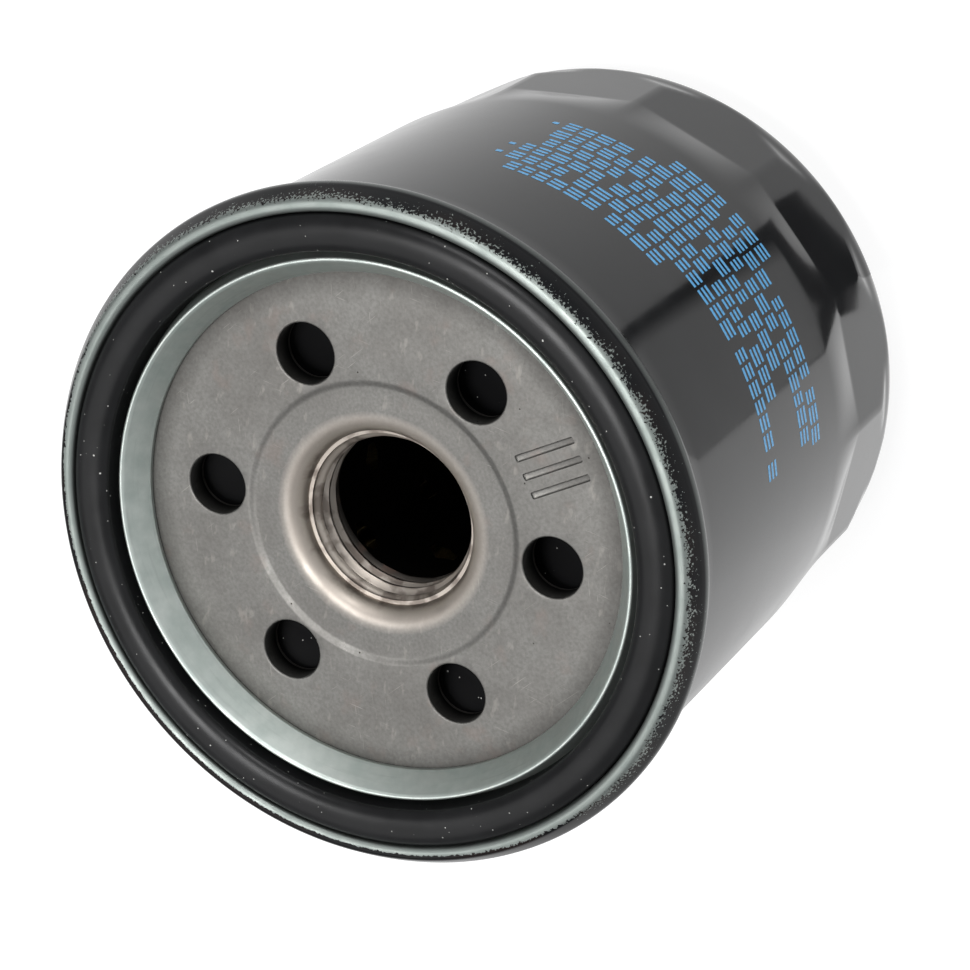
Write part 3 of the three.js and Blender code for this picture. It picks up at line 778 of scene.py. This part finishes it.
def rounded_step(start, stop, steps):
    """Points of a soft S from one level to the next."""
    points = []
    for k in range(steps):
        share = k / steps
        fall = (stop[1] - start[1]) * eased(share)
        points.append((start[0] + (stop[0] - start[0]) * share, start[1] + fall))
    return points


def cut_thread(piece, sizes):
    """Raises the bore's points to a right-hand thread, which fades out at both ends."""
    root, depth, pitch = sizes.thread_radius, sizes.thread_depth, sizes.thread_pitch
    top = (PLATE_FACE - PLATE_SUNK - THREAD_ENTRY) * MM
    base = COLLAR_END * MM
    root_share, crest_share = 0.08, 0.22
    for vertex in piece.data.vertices:
        x, y, z = vertex.co
        radius = math.hypot(x, y)
        if abs(radius - root) < 0.01 * MM and base - 0.01 * MM < z < top + 0.01 * MM:
            phase = (z / pitch - math.atan2(y, x) / (2 * math.pi)) % 1.0
            ridge = 1 - abs(2 * phase - 1)
            ridge = min(1.0, max(0.0, ridge - root_share) / (1 - root_share - crest_share))
            fade = min(1.0, (top - z) / (0.8 * pitch), (z - base) / (0.4 * pitch))
            new = root - depth * ridge * max(0.0, fade)
            vertex.co.x *= new / radius
            vertex.co.y *= new / radius


def inlet_cutter(sizes, bearing):
    """A round punch with a flared shoulder, so that the hole it leaves has a rolled-over edge."""
    radius = sizes.inlet_radius / MM
    edge = 0.2
    outline = [(0.0, PLATE_FACE - 4.0), (radius + 0.15, PLATE_FACE - 4.0), (radius, PLATE_FACE - 2.6)]
    outline += arc((radius + edge, PLATE_FACE - edge), edge, 180, 90, 6)
    outline += [(radius + edge + 0.2, PLATE_FACE + 1.0), (0.0, PLATE_FACE + 1.0)]
    punch = turned("inlet_punch", outline, 64, closed=False)
    leave_edit_mode()
    circle = sizes.inlet_circle
    punch.location = (circle * math.cos(bearing), circle * math.sin(bearing), 0)
    bpy.ops.object.transform_apply(location=True, rotation=True, scale=True)
    return punch


def stamp_cutter(sideways):
    """A blunt bar that leaves one stroke of the stamped mark."""
    size, depth = (7.2 * MM, 0.8 * MM, 1.0 * MM), 0.25 * MM
    bar = begin("stamp_bar", bpy.ops.mesh.primitive_cube_add, size=1.0)
    bpy.ops.transform.resize(value=size)
    bpy.ops.mesh.bevel(offset=0.2 * MM, segments=3, affect="EDGES")
    leave_edit_mode()
    bar.rotation_euler = (0, 0, math.radians(-90))
    bar.location = (sideways * MM, -22.0 * MM, PLATE_FACE * MM - depth + size[2] / 2)
    bpy.ops.object.transform_apply(location=True, rotation=True, scale=True)
    return bar


class OILFILTER_OT_base_plate(bpy.types.Operator):
    """Turns the base plate, punches its inlets, stamps its mark and cuts its thread"""

    bl_idname = "oilfilter.base_plate"
    bl_label = "Base plate"

    def execute(self, context):
        sizes = context.scene.filter_sizes
        plate = turned("tapped_base_plate", plate_outline(sizes), 192)
        leave_edit_mode()
        cut_thread(plate, sizes)
        for index in range(sizes.inlet_count):
            cut_out(plate, inlet_cutter(sizes, 2 * math.pi * index / sizes.inlet_count))
        for sideways in (-2.1, 0.0, 2.1):
            cut_out(plate, stamp_cutter(sideways))
        end(plate, 32.0)
        hand_over(plate, bare_steel(), "housing", "bare_steel", "base_plate")
        return {"FINISHED"}


# ---------------------------------------------------------------- springs and drain valve


def coil_spring(name, node, radius, wire, turns):
    """Winds round wire between a CAD spring's two ends, with its end turns closed up. Millimetres."""
    lower, upper = low(node), high(node)
    bpy.ops.object.select_all(action="DESELECT")
    bpy.ops.curve.primitive_nurbs_path_add()
    coil = bpy.context.object
    coil.name = name
    curve = coil.data
    curve.splines.clear()
    steps = round(turns * 40)
    route = curve.splines.new("POLY")
    route.points.add(steps)
    for i in range(steps + 1):
        share = i / steps
        angle = 2 * math.pi * turns * share
        soft = min(1.0, max(0.0, (share - 0.08) / 0.84))
        rise = 0.65 * share + 0.35 * eased(soft)
        height = lower + wire / 2 + (upper - lower - wire) * rise
        place = Vector((radius * math.cos(angle), radius * math.sin(angle), height)) * MM
        route.points[i].co = (*place, 1.0)
    curve.dimensions = "3D"
    curve.bevel_depth = wire / 2 * MM
    curve.bevel_resolution = 4
    curve.use_fill_caps = True
    bpy.ops.object.convert(target="MESH")
    return end(bpy.context.object, 50.0)


class OILFILTER_OT_springs(bpy.types.Operator):
    """Winds the element spring and the bypass spring"""

    bl_idname = "oilfilter.springs"
    bl_label = "Springs"

    def execute(self, context):
        wire = plain_metal("drawn_spring_wire", "#7c7a74", "#64625c", 0.3, 2.0)
        element = coil_spring("element_coil", "element_spring", 11.0, 2.0, 3.0)
        hand_over(element, wire, "housing", "spring_steel", "element_spring")
        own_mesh(element)
        bypass = coil_spring("bypass_coil", "bypass_spring", 5.2, 1.0, 4.5)
        hand_over(bypass, wire, "element", "spring_steel", "bypass_spring")
        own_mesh(bypass)
        return {"FINISHED"}


class OILFILTER_OT_drain_valve(bpy.types.Operator):
    """Moulds the anti-drain valve, its boot and its skirt"""

    bl_idname = "oilfilter.drain_valve"
    bl_label = "Anti-drain valve"

    def execute(self, context):
        base, top = low("anti_drain_valve"), high("anti_drain_valve")
        rim, bore = reach("anti_drain_valve"), 12.225
        boot, boot_top = bore + 2.4, base + 2.7
        outline = rounded([
            (bore, base, 0.3),
            (boot, base, 0.4),
            (boot, boot_top - 1.4, 0.8),
            (rim - 0.4, top - 1.6, 0.5),
            (rim, top - 0.6, 0.3),
            (rim - 0.3, top, 0.25),
            (rim - 1.3, top, 0.25),
            (rim - 1.7, top - 0.6, 0.3),
            (boot, boot_top, 0.8),
            (bore, boot_top, 0.3),
        ])
        disc = end(turned("drain_valve_disc", outline, 144), 50.0)
        rubber = nitrile_rubber("oiled_nitrile_valve", linear("#050506"), 0.6, 1.2)
        hand_over(disc, rubber, None, "nitrile", "anti_drain_valve")
        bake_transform(disc)
        return {"FINISHED"}


class OILFILTER_OT_frame_finishes(bpy.types.Operator):
    """Gives the frame's own nodes their finishes"""

    bl_idname = "oilfilter.frame_finishes"
    bl_label = "Inner finishes"

    def execute(self, context):
        by_slot = {
            "tin_plate": plain_metal("oil_dark_tinplate", "#2e2c29", "#1f1d1b", 0.5, 6.0),
            "bare_steel": plain_metal("machined_steel", "#9d9a95", "#86837e", 0.28, 1.5),
            "filter_paper": dull_film("pleated_filter_paper", "#c2ab72", "#a8925c", 0.88, 0.5, 0.02),
            "plastisol": dull_film("cured_plastisol", "#c98a4a", "#b3763a", 0.5, 3.0, 0.02),
            "sealant": dull_film("latex_seam_compound", "#6b6f66", "#595c54", 0.75, 1.0, 0.02),
            "nitrile": nitrile_rubber("oiled_nitrile_seal", linear("#050506"), 0.6, 1.2),
        }
        slots = {part["node"]: part["material_slot"] for part in frame["record"]["subparts"]}
        for name, node in frame["nodes"].items():
            if slots[name] in by_slot:
                node.data.materials.clear()
                node.data.materials.append(by_slot[slots[name]])
        return {"FINISHED"}


# ---------------------------------------------------------------- printed panel


LINE_PITCH = 3.37                    # from one printed line to the next
BAR_GAP = 0.95                       # between the three bars of a printed mark
FIRST_LINE = 31.5
# Each line runs between two bearings, in degrees round the can.
PRINTED_LINES = ((-54, -78), (-35, -112), (-35, -112), (-36, -93), (-34, -99), (-34, -112), (-36, -69))
DOTTED_LINES = (1, 4, 5)


def print_bar(width, height, along, up):
    """Adds one flat bar of ink to the mesh in edit mode. Millimetres along the wall and up it."""
    bpy.ops.mesh.primitive_plane_add(size=MM, location=(along * MM, up * MM, 0))
    bpy.ops.transform.resize(value=(width, height, 1))


class OILFILTER_OT_print(bpy.types.Operator):
    """Prints lines of plain marks, with no lettering, on the can's wall"""

    bl_idname = "oilfilter.print"
    bl_label = "Printed lines"

    def execute(self, context):
        draw = random.Random(4)
        radius = context.scene.filter_sizes.can_radius / MM
        panel = begin("printed_lines", bpy.ops.mesh.primitive_plane_add, size=MM)
        bpy.ops.mesh.delete(type="VERT")
        for line, (first, last) in enumerate(PRINTED_LINES):
            along, stop = (-math.radians(bearing) * radius for bearing in (first, last))
            up = FIRST_LINE + line * LINE_PITCH
            if line in DOTTED_LINES:
                print_bar(0.7, 0.7, along - 1.2, up)
            left_in_group = draw.randint(3, 7)
            while along < stop - 1.0:
                width = draw.uniform(1.2, 2.0)
                for step in (-1, 0, 1):
                    print_bar(width, 0.5, along + width / 2, up + step * BAR_GAP)
                left_in_group -= 1
                along += width + (0.42 if left_in_group else 1.5)
                left_in_group = left_in_group or draw.randint(3, 7)
        bpy.ops.mesh.select_all(action="SELECT")
        bpy.ops.mesh.flip_normals()
        leave_edit_mode()
        bpy.ops.object.transform_apply(location=True, rotation=True, scale=True)
        film = context.scene.filter_sizes.can_radius + 0.02 * MM
        for vertex in panel.data.vertices:
            bearing = -vertex.co.x / MM / radius
            vertex.co = (film * math.cos(bearing), film * math.sin(bearing), vertex.co.y)
        hand_over(panel, print_ink(), "housing", "black_paint")
        return {"FINISHED"}


# ---------------------------------------------------------------- studio


FLOOR_GLOW = 0.84                    # the light table's own light


def soft_light(name, place, size, watts, aim):
    """A square soft light that looks at a point."""
    bpy.ops.object.light_add(type="AREA", location=place)
    lamp = bpy.context.object
    lamp.name = name
    lamp.data.shape = "SQUARE"
    lamp.data.size = size
    lamp.data.energy = watts
    lamp.rotation_mode = "QUATERNION"
    lamp.rotation_quaternion = (Vector(aim) - Vector(place)).to_track_quat("-Z", "Y")


class OILFILTER_OT_stage(bpy.types.Operator):
    """Sets the pale floor, the soft light and the camera"""

    bl_idname = "oilfilter.stage"
    bl_label = "Studio"

    def execute(self, context):
        scene = context.scene
        scene.view_settings.view_transform = "Standard"
        floor = begin("floor", bpy.ops.mesh.primitive_plane_add, size=12.0)
        leave_edit_mode()
        material, tree, shader, place = start_material("light_table_acrylic")
        cloud = grain(tree, place, 60.0)
        floor_colour = mixed(tree, cloud, chosen_colour("floor"), "#858585")
        tree.links.new(floor_colour, shader.inputs["Base Color"])
        shader.inputs["Roughness"].default_value = 0.9
        shader.inputs["Emission Color"].default_value = (1, 1, 1, 1)
        shader.inputs["Emission Strength"].default_value = FLOOR_GLOW
        floor.data.materials.append(material)
        add_flag()
        add_dim_floor()
        world = bpy.data.worlds.new("studio_air")
        world.use_nodes = True
        air = world.node_tree
        background = air.nodes["Background"].inputs
        background["Color"].default_value = (0.96, 0.98, 1.0, 1)
        facing = add_node(air, "ShaderNodeTexCoord").outputs["Generated"]
        # The room is lighter in front of the filter than behind it.
        front = add_node(air, "ShaderNodeSeparateXYZ", {"Vector": facing}).outputs["Y"]
        air.links.new(ramp(air, front, -0.9, 0.3, 0.75, 0.30), background["Strength"])
        scene.world = world
        soft_light("softbox_key", (0.07, 0.03, 0.87), 0.30, 4.2, (0, 0, 0.06))
        soft_light("softbox_fill", (-0.12, 0.42, 0.75), 0.8, 2.0, (0, 0, 0.06))
        soft_light("softbox_side", (0.52, -0.31, 0.56), 0.25, 1.6, (0, 0, 0.06))
        place_camera(scene)
        return {"FINISHED"}


FLAG_SIDES = ((-72.1, -70.4), (-98.5, -123.2))   # bearing at the can, and bearing the side runs along
FLAG_START = 5.2                                 # from the can's wall to the card
FLAG_LENGTH = 48.0
FLAG_NEAR = 12.0                                 # black up to here from the can's wall
FLAG_EDGES = (5.2, 0.4)                          # black border along each side
DIM_LIGHT = 1.12                                 # brightness of the undimmed floor


def add_flag():
    """Lays a dark card in front of the can, which is seen only in the can's gloss."""
    radius = bpy.context.scene.filter_sizes.can_radius / MM
    card = begin("flag", bpy.ops.mesh.primitive_plane_add, size=MM)
    leave_edit_mode()
    corners = []
    for start, away in FLAG_SIDES:
        near = Vector((math.cos(math.radians(start)), math.sin(math.radians(start)))) * radius
        course = Vector((math.cos(math.radians(away)), math.sin(math.radians(away))))
        corners.append((near, course))
    spots = []
    for length in (FLAG_LENGTH, FLAG_START):
        spots += [near + course * length for near, course in reversed(corners)]
    for vertex, spot in zip(card.data.vertices, spots):
        vertex.co = (spot.x * MM, spot.y * MM, 0.1 * MM)
    material, tree, shader, place = start_material("matt_black_card")
    axes = add_node(tree, "ShaderNodeSeparateXYZ", {"Vector": place})
    inside = None
    for (near, course), side, edge in zip(corners, (1, -1), FLAG_EDGES):
        across = Vector((course.y, -course.x)) * side
        reach_x = product(tree, axes.outputs["X"], across.x)
        reach_y = product(tree, axes.outputs["Y"], across.y)
        depth = math_of(tree, "SUBTRACT", math_of(tree, "ADD", reach_x, reach_y), near.dot(across) * MM)
        clear = ramp(tree, depth, 0.6 * edge * MM, 1.6 * edge * MM)
        inside = clear if inside is None else product(tree, inside, clear)
    radial, _ = radius_of(tree, place)
    far = ramp(tree, radial, (radius + FLAG_NEAR - 1.0) * MM, (radius + FLAG_NEAR + 1.0) * MM)
    glow = ramp(tree, product(tree, inside, far), 0.0, 1.0, 0.02, 0.6)
    seen_in_gloss(card, material, shader, glow)


def seen_in_gloss(card, material, shader, glow):
    """Makes a card glow by the share given, and hides it from all but reflections."""
    material.node_tree.links.new(glow, shader.inputs["Emission Strength"])
    shader.inputs["Emission Color"].default_value = (1, 1, 1, 1)
    shader.inputs["Base Color"].default_value = (0.01, 0.01, 0.01, 1)
    card.data.materials.append(material)
    for rays in ("camera", "diffuse", "shadow", "transmission"):
        setattr(card, "visible_" + rays, False)


def add_dim_floor():
    """Lays a sheet that shows, in the can's gloss only, how the floor's light falls off to each side."""
    sheet = begin("dim_floor", bpy.ops.mesh.primitive_plane_add, size=0.6)
    bpy.ops.transform.translate(value=(0, 0, 0.05 * MM))
    leave_edit_mode()
    material, tree, shader, place = start_material("shaded_light_table")
    # Bearings here are measured from the side nearest to the camera.
    axes = add_node(tree, "ShaderNodeSeparateXYZ", {"Vector": rotated(tree, place, 73.8)})
    bearing = math_of(tree, "ARCTAN2", axes.outputs["Y"], axes.outputs["X"])
    one_side = ramp(tree, bearing, 0.0, math.radians(110), 0.56, 0.86)
    other_side = ramp(tree, bearing, math.radians(-110), math.radians(-75), 0.6, 1.0)
    which = math_of(tree, "GREATER_THAN", bearing, math.radians(-20))
    share = add_node(tree, "ShaderNodeMix", {"Factor": which, 2: other_side, 3: one_side}).outputs[0]
    # Both sides meet at one brightness behind the filter.
    behind = ramp(tree, math_of(tree, "ABSOLUTE", bearing), math.radians(115), math.radians(175))
    share = add_node(tree, "ShaderNodeMix", {"Factor": behind, 2: share, 3: 0.75}).outputs[0]
    seen_in_gloss(sheet, material, shader, product(tree, share, DIM_LIGHT))


def place_camera(scene):
    """Looks down on the base plate from the front right, rolled so that the can runs up to the right."""
    azimuth, elevation, roll = math.radians(16.2), math.radians(57.608), math.radians(-127.39)
    aim, distance = Vector((1.10, -15.63, CROWN - 1.9)) * MM, 321.4 * MM
    back = Vector((
        math.sin(azimuth) * math.cos(elevation),
        -math.cos(azimuth) * math.cos(elevation),
        math.sin(elevation),
    ))
    bpy.ops.object.camera_add(location=aim + back * distance)
    camera = bpy.context.object
    camera.name = "studio_camera"
    upright = (-back).to_track_quat("-Z", "Y").to_matrix()
    camera.rotation_mode = "QUATERNION"
    camera.rotation_quaternion = (upright @ Matrix.Rotation(roll, 3, "Z")).to_quaternion()
    camera.data.sensor_width = 36.0
    camera.data.lens = 116.462
    camera.data.clip_start = 0.01
    scene.camera = camera


# ---------------------------------------------------------------- add-on

STEPS = (
    OILFILTER_OT_can,
    OILFILTER_OT_retainer,
    OILFILTER_OT_gasket,
    OILFILTER_OT_base_plate,
    OILFILTER_OT_springs,
    OILFILTER_OT_drain_valve,
    OILFILTER_OT_frame_finishes,
    OILFILTER_OT_print,
    OILFILTER_OT_stage,
)


class OILFILTER_PT_panel(bpy.types.Panel):
    """Lists the build steps"""

    bl_idname = "OILFILTER_PT_panel"
    bl_label = "Oil filter"
    bl_space_type = "VIEW_3D"
    bl_region_type = "UI"
    bl_category = "Oil filter"

    def draw(self, context):
        for step in STEPS:
            self.layout.operator(step.bl_idname)


CLASSES = (FilterSizes, FilterFinishes, *STEPS, OILFILTER_PT_panel)


def register():
    for item in CLASSES:
        bpy.utils.register_class(item)
    bpy.types.Scene.filter_sizes = PointerProperty(type=FilterSizes)
    bpy.types.Scene.filter_finishes = PointerProperty(type=FilterFinishes)


def unregister():
    del bpy.types.Scene.filter_finishes
    del bpy.types.Scene.filter_sizes
    for item in reversed(CLASSES):
        bpy.utils.unregister_class(item)


def main():
    register()
    for step in STEPS:
        group, name = step.bl_idname.split(".")
        getattr(getattr(bpy.ops, group), name)()


if __name__ == "__main__":
    main()
